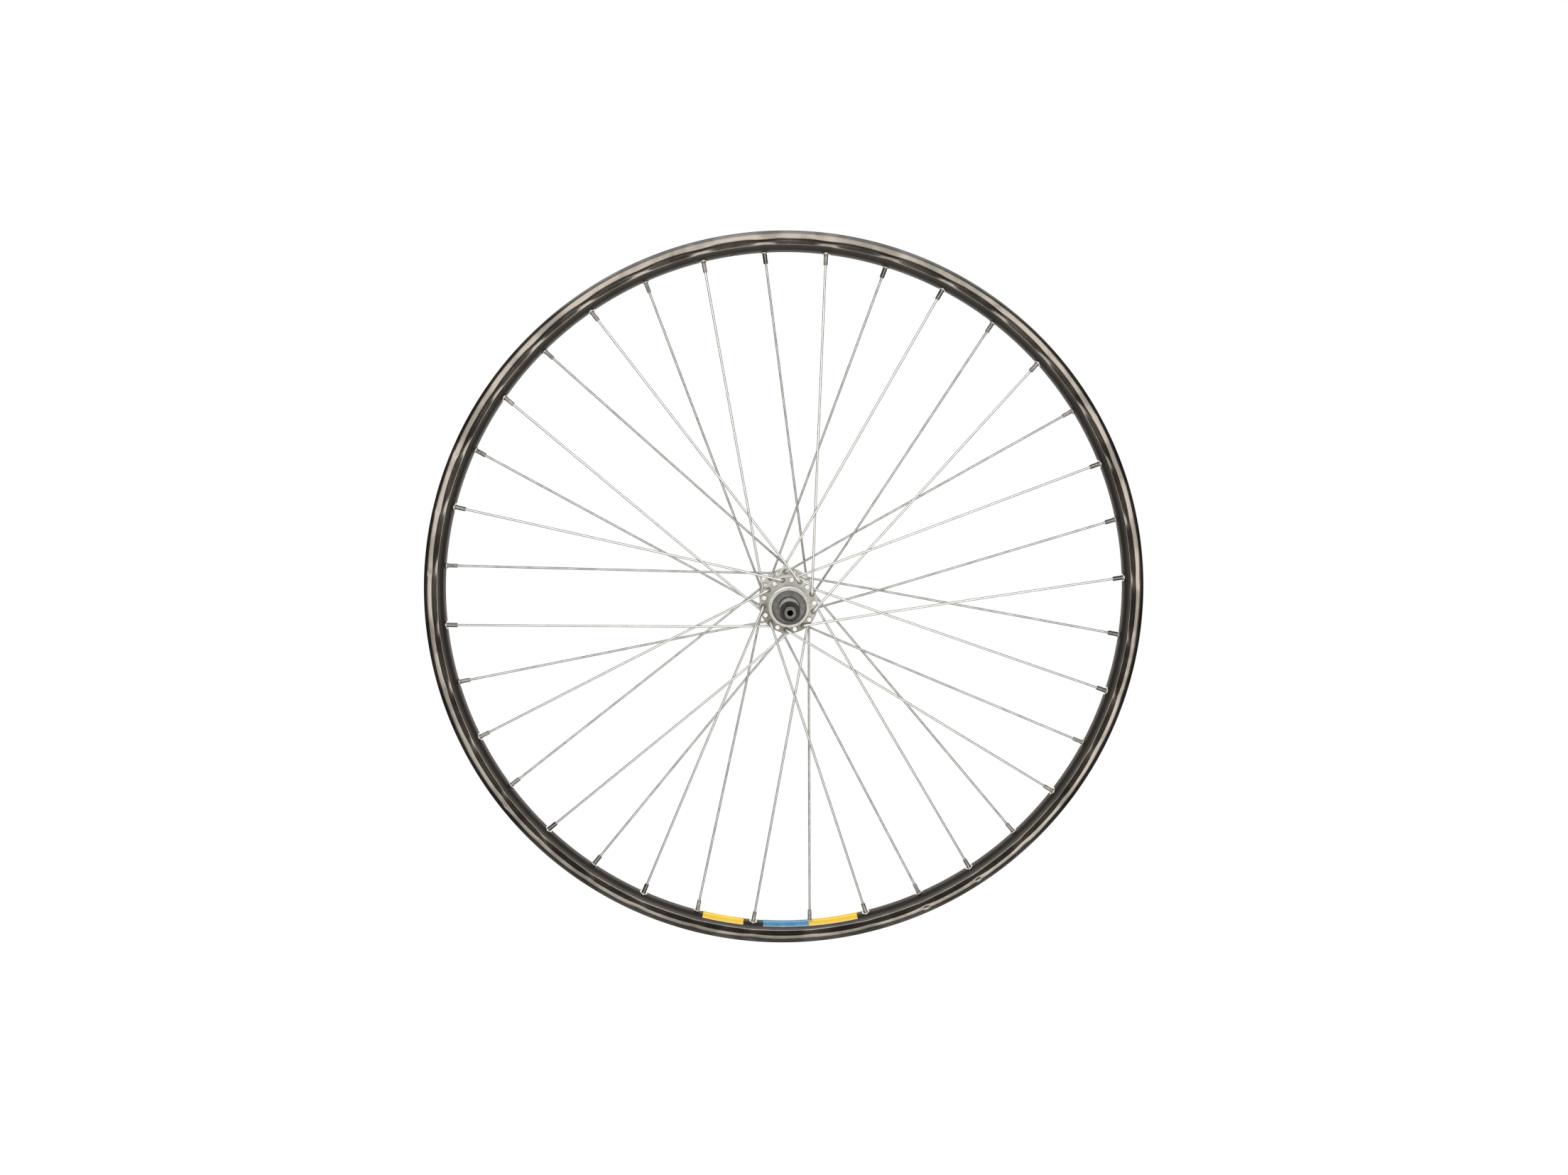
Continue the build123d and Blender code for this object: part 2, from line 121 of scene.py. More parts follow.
# %% A tree whose nodes come from one method
class Tree:
    """A node tree, of a material, of the world or of geometry."""

    def __init__(self, tree):
        self.tree = tree

    def node(self, kind, settings=None, inputs=None, output=0):
        """A new node with its settings, then its sockets' values or links, as the wire of one output."""
        made = self.tree.nodes.new(kind)
        for name, value in (settings or {}).items():
            setattr(made, name, value)
        for name, value in (inputs or {}).items():
            self.feed(made.inputs[name], value)
        return Wire(self, made.outputs[output]) if made.outputs else None

    def feed(self, socket, value):
        """A link or a value into a socket, where a colour of three parts becomes opaque."""
        if isinstance(value, Wire):
            self.tree.links.new(value.socket, socket)
        elif socket.type == "RGBA" and len(value) == 3:
            socket.default_value = (*value, 1)
        else:
            socket.default_value = value

    def also(self, wire, output):
        """Another output of the node that a wire comes from."""
        return Wire(self, wire.socket.node.outputs[output])

    def math(self, operation, *inputs):
        return self.node("ShaderNodeMath", {"operation": operation}, dict(enumerate(inputs)))

    def mix(self, share, one, other):
        """From one colour to another by a share."""
        inputs = {0: share, 6: one, 7: other}
        return self.node("ShaderNodeMix", {"data_type": "RGBA"}, inputs, output=2)

    def vector(self, x, y, z):
        return self.node("ShaderNodeCombineXYZ", None, {0: x, 1: y, 2: z})

    def split(self, vector):
        """The three parts of a vector."""
        x = self.node("ShaderNodeSeparateXYZ", None, {0: vector})
        return x, self.also(x, 1), self.also(x, 2)


print("one method makes every node and its links")

# %% [markdown]
# ## Where a point of the wheel is
# Everything on the wheel is round about the axle, so patterns are easier in polar form: the radius
# from the axle, the wheel angle in degrees and the place along the axle. An unwrapped map could hold
# them too, but Object coordinates give them without one, and they turn with the wheel, so a mark
# stays where it is when the wheel spins.


# %% Finishes in polar coordinates
class Finish(Tree):
    """A material on the standard shader, with the place on the wheel at hand."""

    def __init__(self, name, colour, metallic, roughness, **constants):
        self.material = bpy.data.materials.new(name)
        self.material.use_nodes = True
        super().__init__(self.material.node_tree)
        self.shader = self.tree.nodes["Principled BSDF"]
        self.set(base_color=colour, metallic=metallic, roughness=roughness, **constants)
        self.place = self.node("ShaderNodeTexCoord", output="Object")
        self.x, self.along, self.z = self.split(self.place)
        self.radius = (self.x.squared() + self.z.squared()).math("SQRT")
        self.turn = (self.z.math("ARCTAN2", self.x) * degrees(1) + 360).modulo(360)

    def set(self, **values):
        """Sockets of the standard shader, by their names in small letters."""
        for name, value in values.items():
            self.feed(self.shader.inputs[name.replace("_", " ").title()], value)

    def noise(self, scale, detail=3.0, vector=None, roughness=0.5):
        inputs = {"Vector": vector or self.place, "Scale": scale, "Detail": detail}
        inputs["Roughness"] = roughness
        return self.node("ShaderNodeTexNoise", None, inputs)

    def bumpy(self, height, distance, strength=1.0):
        inputs = {"Height": height, "Distance": distance, "Strength": strength}
        self.set(normal=self.node("ShaderNodeBump", None, inputs))


finishes = {}
print("a finish knows x, z, along, radius and turn")

# %% [markdown]
# ## The wheel's own sizes
# The spokes are already in their true places, so they tell where every eyelet, nipple and hole goes.
# The places could be listed by hand, but then they would be wrong as soon as the wheel changes. A
# spoke's straight outer run ends inside its nipple: the ring of vertices at that end and the one
# where the run starts give the line. The rim's radius and width are measured too, from its box, and
# the depths inside its section are the same real sizes that the rim was drawn from.

# %% Lines of the spokes and sizes of the rim
BODY = "wheel"
SPOKES = 36
RIM_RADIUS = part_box("rim")[1].x
RIM_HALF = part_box("rim")[1].y
CREASE_RADIUS = RIM_RADIUS - 11.5 * MM
BED_RADIUS = RIM_RADIUS - 16.3 * MM
SEAT_DEPTH = 3.1 * MM
LAST_RUN = 0.2  # a spoke's last straight run starts inside this radius and ends outside it
END_SLICE = 0.6 * MM


def outer_end(corners):
    """The middle of the vertices that lie farthest from the axle."""
    reach = max(hypot(c.x, c.z) for c in corners)
    end = [c for c in corners if hypot(c.x, c.z) > reach - END_SLICE]
    return sum(end, Vector()) / len(end)


def spoke_line(name):
    """Where a spoke crosses the spoke bed, and its direction outwards."""
    corners = [vertex.co for vertex in wheel_nodes[name].data.vertices]
    tip = outer_end(corners)
    start = outer_end([c for c in corners if hypot(c.x, c.z) < LAST_RUN])
    along = (tip - start).normalized()
    slope = hypot(along.x, along.z)
    return tip + along * (BED_RADIUS - hypot(tip.x, tip.z)) / slope, along


lines = [spoke_line(f"spoke_{number:02}") for number in range(1, SPOKES + 1)]
FIRST_ANGLE = degrees(atan2(lines[0][0].z, lines[0][0].x))
print(f"rim {2000 * RIM_RADIUS:.1f} mm across, {2000 * RIM_HALF:.1f} mm wide")
print(f"first spoke at {FIRST_ANGLE:.2f} degrees")

# %% [markdown]
# ## Dark anodised rim
# The rim is aluminium under a dark oxide, brown-black and satin, so it is metal with a low
# reflection and a soft gloss. Drawing the hoop left fine lines along it, the oxide took unevenly and
# left patches, the outer edges are rubbed to bare metal in places and the joint is a hairline. The
# spoke bed is darker and duller than the walls, partly its oxide, which no brake block polishes, and
# partly painted shade that keeps the sky's reflection off it. An image would hold all this for one
# size of rim only, so each mark is a mask over the place on the wheel. The seven small marks on the
# walls are too shallow to change the outline, so a bump is enough for them.

# %% Anodised finish
RIM_COLOUR, RUBBED_COLOUR = (0.205, 0.188, 0.172), (0.42, 0.41, 0.39)
BED_COLOUR, JOINT_COLOUR = (0.095, 0.086, 0.08), (0.01, 0.01, 0.01)
PATCH_DARK, PATCH_LIGHT = 0.7, 1.2
BED_EDGE = CREASE_RADIUS - 0.35 * MM
JOINT_ANGLE, JOINT_HALF = 278.95, 0.016
# The wheel angle of each mark, and how deep it is beside a usual one
WALL_MARKS = {31.0: 1.0, 155.5: 1.4, 165.0: 0.8, 175.0: 0.8, 216.0: 1.0, 294.0: 1.3, 304.0: 1.1}
MARK_RADIUS = RIM_RADIUS - 5.2 * MM
MARK_TURN, MARK_HEIGHT = 0.45, 1.5 * MM  # half a mark: degrees round the wheel, height on the wall
BUMP_DEPTH = 0.6 * MM


def shaded(colour, share):
    return tuple(share * part for part in colour)


def anodised_rim():
    finish = Finish("anodised_rim", RIM_COLOUR, 1.0, 0.15)
    cloud = finish.noise(38, 4)
    patches = cloud.step(0.5, 0.26)
    shade = finish.mix(patches, shaded(RIM_COLOUR, PATCH_DARK), shaded(RIM_COLOUR, PATCH_LIGHT))
    # The spoke bed: a darker, duller oxide, with painted shade that keeps the sky's reflection off it
    bed = 1 - finish.radius.step(BED_EDGE, 0.4 * MM)
    shade = finish.mix(bed * 0.9, shade, BED_COLOUR)
    outer_edge = finish.radius.step(RIM_RADIUS - 0.35 * MM, 0.5 * MM)
    rubbed = outer_edge * finish.noise(210, 5).step(0.6, 0.1)
    shade = finish.mix(rubbed * 0.8, shade, RUBBED_COLOUR)
    joint = 1 - (finish.turn - JOINT_ANGLE).size().step(JOINT_HALF, 0.012)
    shade = finish.mix(joint, shade, JOINT_COLOUR)
    drawn = finish.vector(finish.radius * 2600, finish.along * 2600, finish.turn * 0.6)
    drawn_lines = finish.noise(1.0, 4, drawn)
    marks = sum(finish.turn.bell(angle, MARK_TURN) * depth for angle, depth in WALL_MARKS.items())
    marks = marks * finish.radius.bell(MARK_RADIUS, MARK_HEIGHT)
    finish.bumpy(1 - marks * 0.5 + drawn_lines * 0.003, BUMP_DEPTH, 0.8)
    finish.set(base_color=shade, roughness=0.11 + drawn_lines * 0.05 + cloud * 0.05 + bed * 0.32)
    return finish.material


finishes["anodised_rim"] = anodised_rim()
print("marks on the walls:", len(WALL_MARKS))

# %% [markdown]
# ## Worn metals
# The small parts are of steel, of brass whose plating has dulled, and of plain aluminium. Each could
# have a tree of its own, but they differ only in shade, gloss, the size of their dull clouds and
# whether a lathe left its rings on them. So one function makes such a metal, and a table holds what
# is each one's own. Metal that looks bright all over in the photograph is only partly metallic here,
# because pure metal goes black wherever it mirrors a dark room.

# %% Metals from a table
METALS = {  # shade, dull shade, roughness, fineness of the clouds, metallic, lathe rings in a mm
    "eyelet_steel": ((0.92, 0.91, 0.89), (0.66, 0.64, 0.60), 0.25, 420, 0.5, None),
    "nipple_brass": ((0.27, 0.26, 0.25), (0.16, 0.15, 0.14), 0.30, 700, 1.0, None),
    "cap_steel": ((0.215, 0.212, 0.216), (0.14, 0.137, 0.137), 0.34, 260, 1.0, 3),
    "spacer_steel": ((0.80, 0.79, 0.76), (0.58, 0.57, 0.54), 0.30, 300, 0.5, 3),
    "locknut_steel": ((0.105, 0.10, 0.10), (0.05, 0.048, 0.046), 0.36, 420, 1.0, None),
    "axle_steel": ((0.30, 0.295, 0.29), (0.16, 0.155, 0.15), 0.30, 500, 1.0, None),
    "bearing_steel": ((0.14, 0.135, 0.13), (0.05, 0.045, 0.04), 0.30, 240, 1.0, 4),
    "plain_aluminium": ((0.60, 0.60, 0.60), (0.46, 0.46, 0.45), 0.40, 120, 1.0, 2),
}
RING_NOISE = 0.7 * pi  # how much of the noise one ring takes up
# How deep the rings are, in mm
RING_DEPTH = {"cap_steel": 0.05, "spacer_steel": 0.03, "bearing_steel": 0.02, "plain_aluminium": 0.04}


def dull_clouds(finish, fineness):
    """Soft patches where a metal has gone dull."""
    return finish.noise(fineness, 5, roughness=0.65).step(0.53, 0.3)


def lathe_rings(finish, in_a_metre):
    """Fine rings that a lathe leaves about the axle, on faces and on round walls."""
    reach = finish.radius + finish.along * 0.7
    return finish.noise(1.0, 2, finish.vector(reach * in_a_metre, 0.0, 0.0))


def worn_metal(name, shade, dull_shade, roughness, fineness, metallic, rings):
    finish = Finish(name, shade, metallic, roughness)
    cloud = dull_clouds(finish, fineness)
    finish.set(base_color=finish.mix(cloud, shade, dull_shade), roughness=roughness + cloud * 0.12)
    if rings:
        finish.bumpy(lathe_rings(finish, RING_NOISE * rings / MM), RING_DEPTH[name] * MM)
    return finish.material


for name, row in METALS.items():
    finishes[name] = worn_metal(name, *row)
print("metals:", ", ".join(METALS))

# %% [markdown]
# ## Hub alloy
# The hub is polished alloy gone milky. It has a fine ring for each touch of the lathe and brown patina
# on its barrel and flanges. Painted shade lies low on the flanges and round each spoke hole. The
# stains and the painted shade could be painted on by hand, but each has a place that a distance
# describes: from the axle, from the nearest hole or from the ends of the hub. So each is a mask of its
# own, and they are laid over the alloy one after another.

# %% Alloy with its stains and painted shade
ALLOY, MILKY_ALLOY, PATINA = (0.76, 0.77, 0.745), (0.64, 0.635, 0.605), (0.43, 0.395, 0.35)
# The last two colours on this line are painted shade: low on the flanges and round the spoke holes
SPOT, LOW_SHADE, HOLE_SHADE = (0.40, 0.37, 0.32), (0.24, 0.225, 0.205), (0.10, 0.09, 0.075)
HOLE_CIRCLE = 22 * MM
HOLE_PITCH = 2 * 360 / SPOKES
HOLE_SHADE_REACH = 2.4 * MM
LOW_SHADE_FROM = 18.2 * MM  # the painted shade lies outside the freewheel thread
LOW_SHADE_HEIGHT, LOW_SHADE_BLUR = -4 * MM, 26 * MM
CLEAN_END, CLEAN_SPAN = 45 * MM, 12 * MM
HUB_RINGS = 5200  # in a metre


def from_spoke_hole(finish):
    """How far a point of a flange is from the middle of the nearest spoke hole."""
    left_side = finish.along.step(0.0, MM)
    turn = finish.turn - FIRST_ANGLE - left_side * (HOLE_PITCH / 2) + HOLE_PITCH / 2
    past = (turn.modulo(HOLE_PITCH) - HOLE_PITCH / 2) * (HOLE_CIRCLE * radians(1))
    return (past.squared() + (finish.radius - HOLE_CIRCLE).squared()).math("SQRT")


def hub_finish():
    finish = Finish("hub_alloy", ALLOY, 0.55, 0.3)
    cloud = finish.noise(170, 6, roughness=0.7).step(0.5, 0.35)
    shade = finish.mix(cloud, ALLOY, MILKY_ALLOY)
    clean = finish.along.size().bell(CLEAN_END, CLEAN_SPAN) * 0.8
    patina = finish.noise(75, 3).step(0.5, 0.16) * (1 - clean)
    shade = finish.mix(patina * 0.5, shade, PATINA)
    # Painted shade low on the flanges, darker towards the low left and outside the freewheel thread
    low = 1 - (finish.z + finish.x * 0.4).step(LOW_SHADE_HEIGHT, LOW_SHADE_BLUR)
    low_shade = low * finish.radius.step(LOW_SHADE_FROM, 0.6 * MM) * (0.6 + finish.noise(130, 4) * 0.7)
    shade = finish.mix(low_shade * 0.85, shade, LOW_SHADE)
    spots = finish.noise(900, 4, roughness=0.6).step(0.66, 0.1)
    shade = finish.mix(spots * 0.35, shade, SPOT)
    # Painted shade round each spoke hole, where the spoke's elbow shades the flange; the same mask makes
    # it rougher
    hole_shade = 1 - from_spoke_hole(finish).step(HOLE_SHADE_REACH, 1.0 * MM)
    hole_shade = hole_shade * (0.7 + finish.noise(420, 4) * 0.6)
    shade = finish.mix(hole_shade * 0.8, shade, HOLE_SHADE)
    finish.bumpy(lathe_rings(finish, HUB_RINGS) + cloud * 0.3, 0.03 * MM)
    finish.set(base_color=shade, roughness=0.24 + cloud * 0.16 + hole_shade * 0.2)
    return finish.material


finishes["hub_alloy"] = hub_finish()
print(f"spoke holes in a flange: one each {HOLE_PITCH:.0f} degrees")

# %% [markdown]
# ## Spoke wire
# A spoke is stainless wire, a little dull, with a painted highlight on its head and its elbow. In the
# photograph the drive side's wires catch more light than the left side's. A lamp for one side alone
# would spoil the other pieces, so those wires are a shade lighter instead. A spoke stays on its own
# flange's side of the wheel until its end is inside the nipple, so one finish does for both sides.

# %% Wire, elbows and heads
WIRE, DULL_WIRE, LIT_WIRE = (0.57, 0.57, 0.565), (0.43, 0.425, 0.41), (0.71, 0.71, 0.70)
# The last colour here is a painted highlight for the spokes' heads and elbows
HEAD_HIGHLIGHT = (0.92, 0.915, 0.90)
ELBOW_END = HOLE_CIRCLE + 2.6 * MM


def spoke_finish():
    finish = Finish("spoke_stainless", WIRE, 1.0, 0.3)
    cloud = dull_clouds(finish, 95)
    left_side = finish.along.step(0.0, MM)
    shade = finish.mix(left_side, LIT_WIRE, finish.mix(cloud, WIRE, DULL_WIRE))
    # Painted highlight on the heads and elbows, where they catch the light; they are also less metallic
    # there
    head_highlight = 1 - finish.radius.step(ELBOW_END, 1.5 * MM)
    shade = finish.mix(head_highlight, shade, HEAD_HIGHLIGHT)
    finish.set(base_color=shade, metallic=1 - head_highlight * 0.4, roughness=0.37 + cloud * 0.1)
    return finish.material


finishes["spoke_stainless"] = spoke_finish()
print(f"heads and elbows are brighter up to {ELBOW_END / MM:.1f} mm from the axle")

# %% [markdown]
# ## Labels
# Two foils are glued to the spoke bed, one yellow, the other blue and yellow with the change at a
# spoke. Old foil is glossy, a little faded and rubbed at its edges. Two pieces could carry the two
# colours, but the real foil is one, so its colour changes by wheel angle, and the rubbing grows
# where the foil nears its edge.

# %% Foil finish
YELLOW, FADED_YELLOW = (0.88, 0.575, 0.006), (0.82, 0.535, 0.05)
BLUE, FADED_BLUE = (0.04, 0.20, 0.40), (0.10, 0.29, 0.49)
RUBBED_FOIL = (0.62, 0.60, 0.56)
COLOUR_CHANGE = 273.5
LABEL_HALF = 6.5 * MM


def foil(name, two_colour):
    finish = Finish(name, YELLOW, 0.0, 0.3, coat_weight=0.3, coat_roughness=0.1)
    cloud = finish.noise(240, 5, roughness=0.65).step(0.5, 0.5)
    shade = finish.mix(cloud, YELLOW, FADED_YELLOW)
    if two_colour:
        blue = finish.mix(cloud, BLUE, FADED_BLUE)
        shade = finish.mix(finish.turn.step(COLOUR_CHANGE, 0.01), blue, shade)
    near_edge = finish.along.size().step(LABEL_HALF - 0.5 * MM, 0.9 * MM)
    rubbed = near_edge * finish.noise(1100, 4).step(0.5, 0.2)
    shade = finish.mix(rubbed * 0.7, shade, RUBBED_FOIL)
    finish.set(base_color=shade, roughness=0.26 + cloud * 0.14)
    finish.bumpy(finish.noise(700, 3), 0.03 * MM)
    return finish.material


finishes["label_foil"] = foil("label_foil", False)
finishes["label_foil_two_colour"] = foil("label_foil_two_colour", True)
print("finishes:", len(finishes))

# %% [markdown]
# ## Dressing the true pieces
# Spokes, labels and most of the axle set are right in shape already. They could be modelled again,
# but nothing would look better for it, so they keep the mesh that came with them and only take a
# finish.

# %% A finish for each piece
DRESS = {
    "axle_spacer": "spacer_steel",
    "bearing_": "bearing_steel",
    "distance_sleeve": "spacer_steel",
    "dust_cap": "cap_steel",
    "label_double": "label_foil_two_colour",
    "label_single": "label_foil",
    "lock_washer": "locknut_steel",
    "locknut": "locknut_steel",
    "rim_joint_sleeve": "plain_aluminium",
    "spoke_": "spoke_stainless",
}


def dress(piece, slot):
    """One finish all over a piece, looked up by its name."""
    piece.data.materials.clear()
    piece.data.materials.append(finishes[slot])


dressed = 0
for name, piece in wheel_nodes.items():
    for start, slot in DRESS.items():
        if name.startswith(start):
            dress(piece, slot)
            dressed += 1
print(dressed, "pieces dressed")

# %% [markdown]
# ## Geometry Nodes, once
# A repeated part is a small mesh, a set of points and a rule for its place. A loop in Python could
# place the copies, but Geometry Nodes keep the three apart, and the tree takes its sizes as named
# inputs, so they can be tried by hand. An exporter drops instances and live modifiers, so each tree
# ends in real geometry with its material, and the evaluated mesh becomes an ordinary piece.

# %% Plain pieces and points
SHARP_EDGE = radians(32)


def put_in_scene(name, data):
    """A new object for a mesh or a camera, at the origin."""
    made = bpy.data.objects.new(name, data)
    bpy.context.scene.collection.objects.link(made)
    return made


def smooth_piece(name, mesh):
    """An object of a mesh that is shaded smooth, apart from its sharp edges."""
    mesh.name = name
    mesh.shade_smooth()
    mesh.set_sharp_from_angle(angle=SHARP_EDGE)
    return put_in_scene(name, mesh)


def points_mesh(name, points, directions=()):
    """Loose points, each with a direction for what is placed there."""
    mesh = bpy.data.meshes.new(name)
    mesh.from_pydata([tuple(point) for point in points], [], [])
    if directions:
        along = mesh.attributes.new("along", "FLOAT_VECTOR", "POINT")
        along.data.foreach_set("vector", [part for way in directions for part in way])
    return mesh


stations = points_mesh("stations", [place for place, _ in lines], [along for _, along in lines])
print(len(stations.vertices), "spoke stations")


# %% Trees for geometry
class Shaper(Tree):
    """A geometry tree with named inputs, made into a plain mesh by grow()."""

    def __init__(self, name):
        super().__init__(bpy.data.node_groups.new(name, "GeometryNodeTree"))
        for way in ("INPUT", "OUTPUT"):
            self.tree.interface.new_socket("Geometry", in_out=way, socket_type="NodeSocketGeometry")
        self.start = self.node("NodeGroupInput").socket.node
        self.values = {}

    def given(self):
        """The mesh that the tree is grown on."""
        return Wire(self, self.start.outputs[0])

    def input(self, name, value):
        """A named input with its value, and the wire that carries it."""
        made = self.tree.interface.new_socket(name, in_out="INPUT", socket_type="NodeSocketFloat")
        self.values[made.identifier] = value
        return Wire(self, next(s for s in self.start.outputs if s.identifier == made.identifier))

    def mesh_of(self, mesh):
        """The geometry of another mesh, read through a helper object."""
        helpers.append(put_in_scene(mesh.name + "_holder", mesh))
        return self.node("GeometryNodeObjectInfo", None, {"Object": helpers[-1]}, output="Geometry")

    def copies(self, shape, points, twist=None):
        """A copy of a shape at each point, its Z along the point's own direction."""
        named = {"data_type": "FLOAT_VECTOR"}
        along = self.node("GeometryNodeInputNamedAttribute", named, {"Name": "along"})
        facing = self.node("FunctionNodeAlignRotationToVector", {"axis": "Z"}, {"Vector": along})
        if twist:
            inputs = {"Rotation": facing, "Rotate By": twist}
            facing = self.node("FunctionNodeRotateRotation", {"rotation_space": "LOCAL"}, inputs)
        inputs = {"Points": points, "Instance": shape, "Rotation": facing}
        return self.node("GeometryNodeInstanceOnPoints", None, inputs)

    def less(self, shape, *cutters, solver):
        """A shape with cutters taken out of it."""
        settings = {"operation": "DIFFERENCE", "solver": solver}
        cut = self.node("GeometryNodeMeshBoolean", settings, {"Mesh 1": shape})
        for cutter in cutters:
            self.feed(cut.socket.node.inputs["Mesh 2"], cutter)
        return cut

    def end(self, shape, slot):
        """The tree's last nodes: real geometry in its finish."""
        real = self.node("GeometryNodeRealizeInstances", None, {0: shape})
        inputs = {"Geometry": real, "Material": finishes[slot]}
        self.node("NodeGroupOutput", None, {0: self.node("GeometryNodeSetMaterial", None, inputs)})

    def grow(self, name, seed_mesh):
        """The tree's result on a seed mesh, as a plain piece."""
        seed = put_in_scene(name + "_seed", seed_mesh)
        modifier = seed.modifiers.new("shape", "NODES")
        modifier.node_group = self.tree
        for identifier, value in self.values.items():
            modifier[identifier] = value
        evaluated = seed.evaluated_get(bpy.context.evaluated_depsgraph_get())
        mesh = bpy.data.meshes.new_from_object(evaluated)
        seed.modifiers.remove(modifier)
        bpy.data.objects.remove(seed)
        return smooth_piece(name, mesh)


helpers = []
print(f"edges sharper than {degrees(SHARP_EDGE):.0f} degrees stay crisp")

# %% [markdown]
# ## The rim's section
# A rim is one section rolled into a hoop: a spoke bed bowed inwards, two walls, a rounded lip on each
# and a shallow seat for the tyre. The model's own rim is a true solid with broad facets, and this
# satin finish shows every facet, so the hoop is made again with far more steps. The section could be
# traced with a curve, but arcs through three known points keep it in step with the rim's sizes. Only
# the outside is drawn, because nothing shows the hollow.

# %% Section of the rim
ARC_STEPS = 16
WIDEST_RADIUS = RIM_RADIUS - 6 * MM
CREASE_HALF = RIM_HALF - 1.5 * MM
LIP_HALF = RIM_HALF - 1 * MM
SEAT_HALF = LIP_HALF - 0.8 * MM
FLAT_TO, FLAT_STEPS = RIM_RADIUS - 7.1 * MM, 10  # the wall runs straight from the crease to here


def arc(a, b, c, steps):
    """Points on the circle through a, b and c, from a to c, without c."""
    (ax, ay), (bx, by), (cx, cy) = a, b, c
    d = 2 * (ax * (by - cy) + bx * (cy - ay) + cx * (ay - by))
    a2, b2, c2 = ax * ax + ay * ay, bx * bx + by * by, cx * cx + cy * cy
    mx = (a2 * (by - cy) + b2 * (cy - ay) + c2 * (ay - by)) / d
    my = (a2 * (cx - bx) + b2 * (ax - cx) + c2 * (bx - ax)) / d
    start = atan2(ay - my, ax - mx)
    middle = (atan2(by - my, bx - mx) - start) % (2 * pi)
    sweep = (atan2(cy - my, cx - mx) - start) % (2 * pi)
    if middle > sweep:
        sweep -= 2 * pi
    r = hypot(ax - mx, ay - my)
    turns = [start + sweep * i / steps for i in range(steps)]
    return [(mx + r * cos(t), my + r * sin(t)) for t in turns]


def straight(a, b, steps):
    """Points on the way from a to b, without either."""
    shares = [i / steps for i in range(1, steps)]
    return [(a[0] + (b[0] - a[0]) * share, a[1] + (b[1] - a[1]) * share) for share in shares]


def half_section():
    """The section from the middle of the spoke bed round to the middle of the seat, one half."""
    crease = (CREASE_RADIUS, CREASE_HALF)
    bed = arc((CREASE_RADIUS, -CREASE_HALF), (BED_RADIUS, 0), crease, ARC_STEPS)
    under_crease = (CREASE_RADIUS - 0.05 * MM, CREASE_HALF - 0.12 * MM)
    over_crease = (CREASE_RADIUS + 0.1 * MM, CREASE_HALF + 0.02 * MM)
    wall_top = (RIM_RADIUS - 0.3 * MM, LIP_HALF + 0.06 * MM)
    curved = arc(crease, (WIDEST_RADIUS, RIM_HALF), wall_top, 4 * ARC_STEPS)
    curved = [point for point in curved if point[0] > FLAT_TO]
    wall = straight(crease, curved[0], FLAT_STEPS) + curved[::2]
    lip_end = (RIM_RADIUS - 0.35 * MM, SEAT_HALF - 0.12 * MM)
    lip = arc(wall_top, (RIM_RADIUS, (LIP_HALF + SEAT_HALF) / 2), lip_end, 6)
    seat = arc(lip_end, (RIM_RADIUS - SEAT_DEPTH, 0), (lip_end[0], -lip_end[1]), ARC_STEPS)
    half_bed, half_seat = bed[ARC_STEPS // 2 :], seat[: ARC_STEPS // 2 + 1]
    return half_bed + [under_crease, over_crease] + wall + lip + half_seat


half = half_section()
section = half + [(r, -y) for r, y in reversed(half[1:-1])]
section_mesh = points_mesh("rim_section", [(r, y, 0) for r, y in section])
print(len(section), "points round the rim's section")

# %% [markdown]
# ## Hoop with its swells
# At every spoke the pull and the pressed eyelet raise the wall a little, and between them the wall is
# faintly wavy, which is what ripples the highlight on a real rim. A path and Curve to Mesh would roll
# the section too, but every column would be alike. A grid bent round by formula can lift each point
# by its distance from the nearest spoke and by a slow noise round the wheel.

# %% Tree of the hoop
HOOP_STEPS = 720
PITCH = 360 / SPOKES
WAVES_ROUND, WAVES_ACROSS = 9, 260


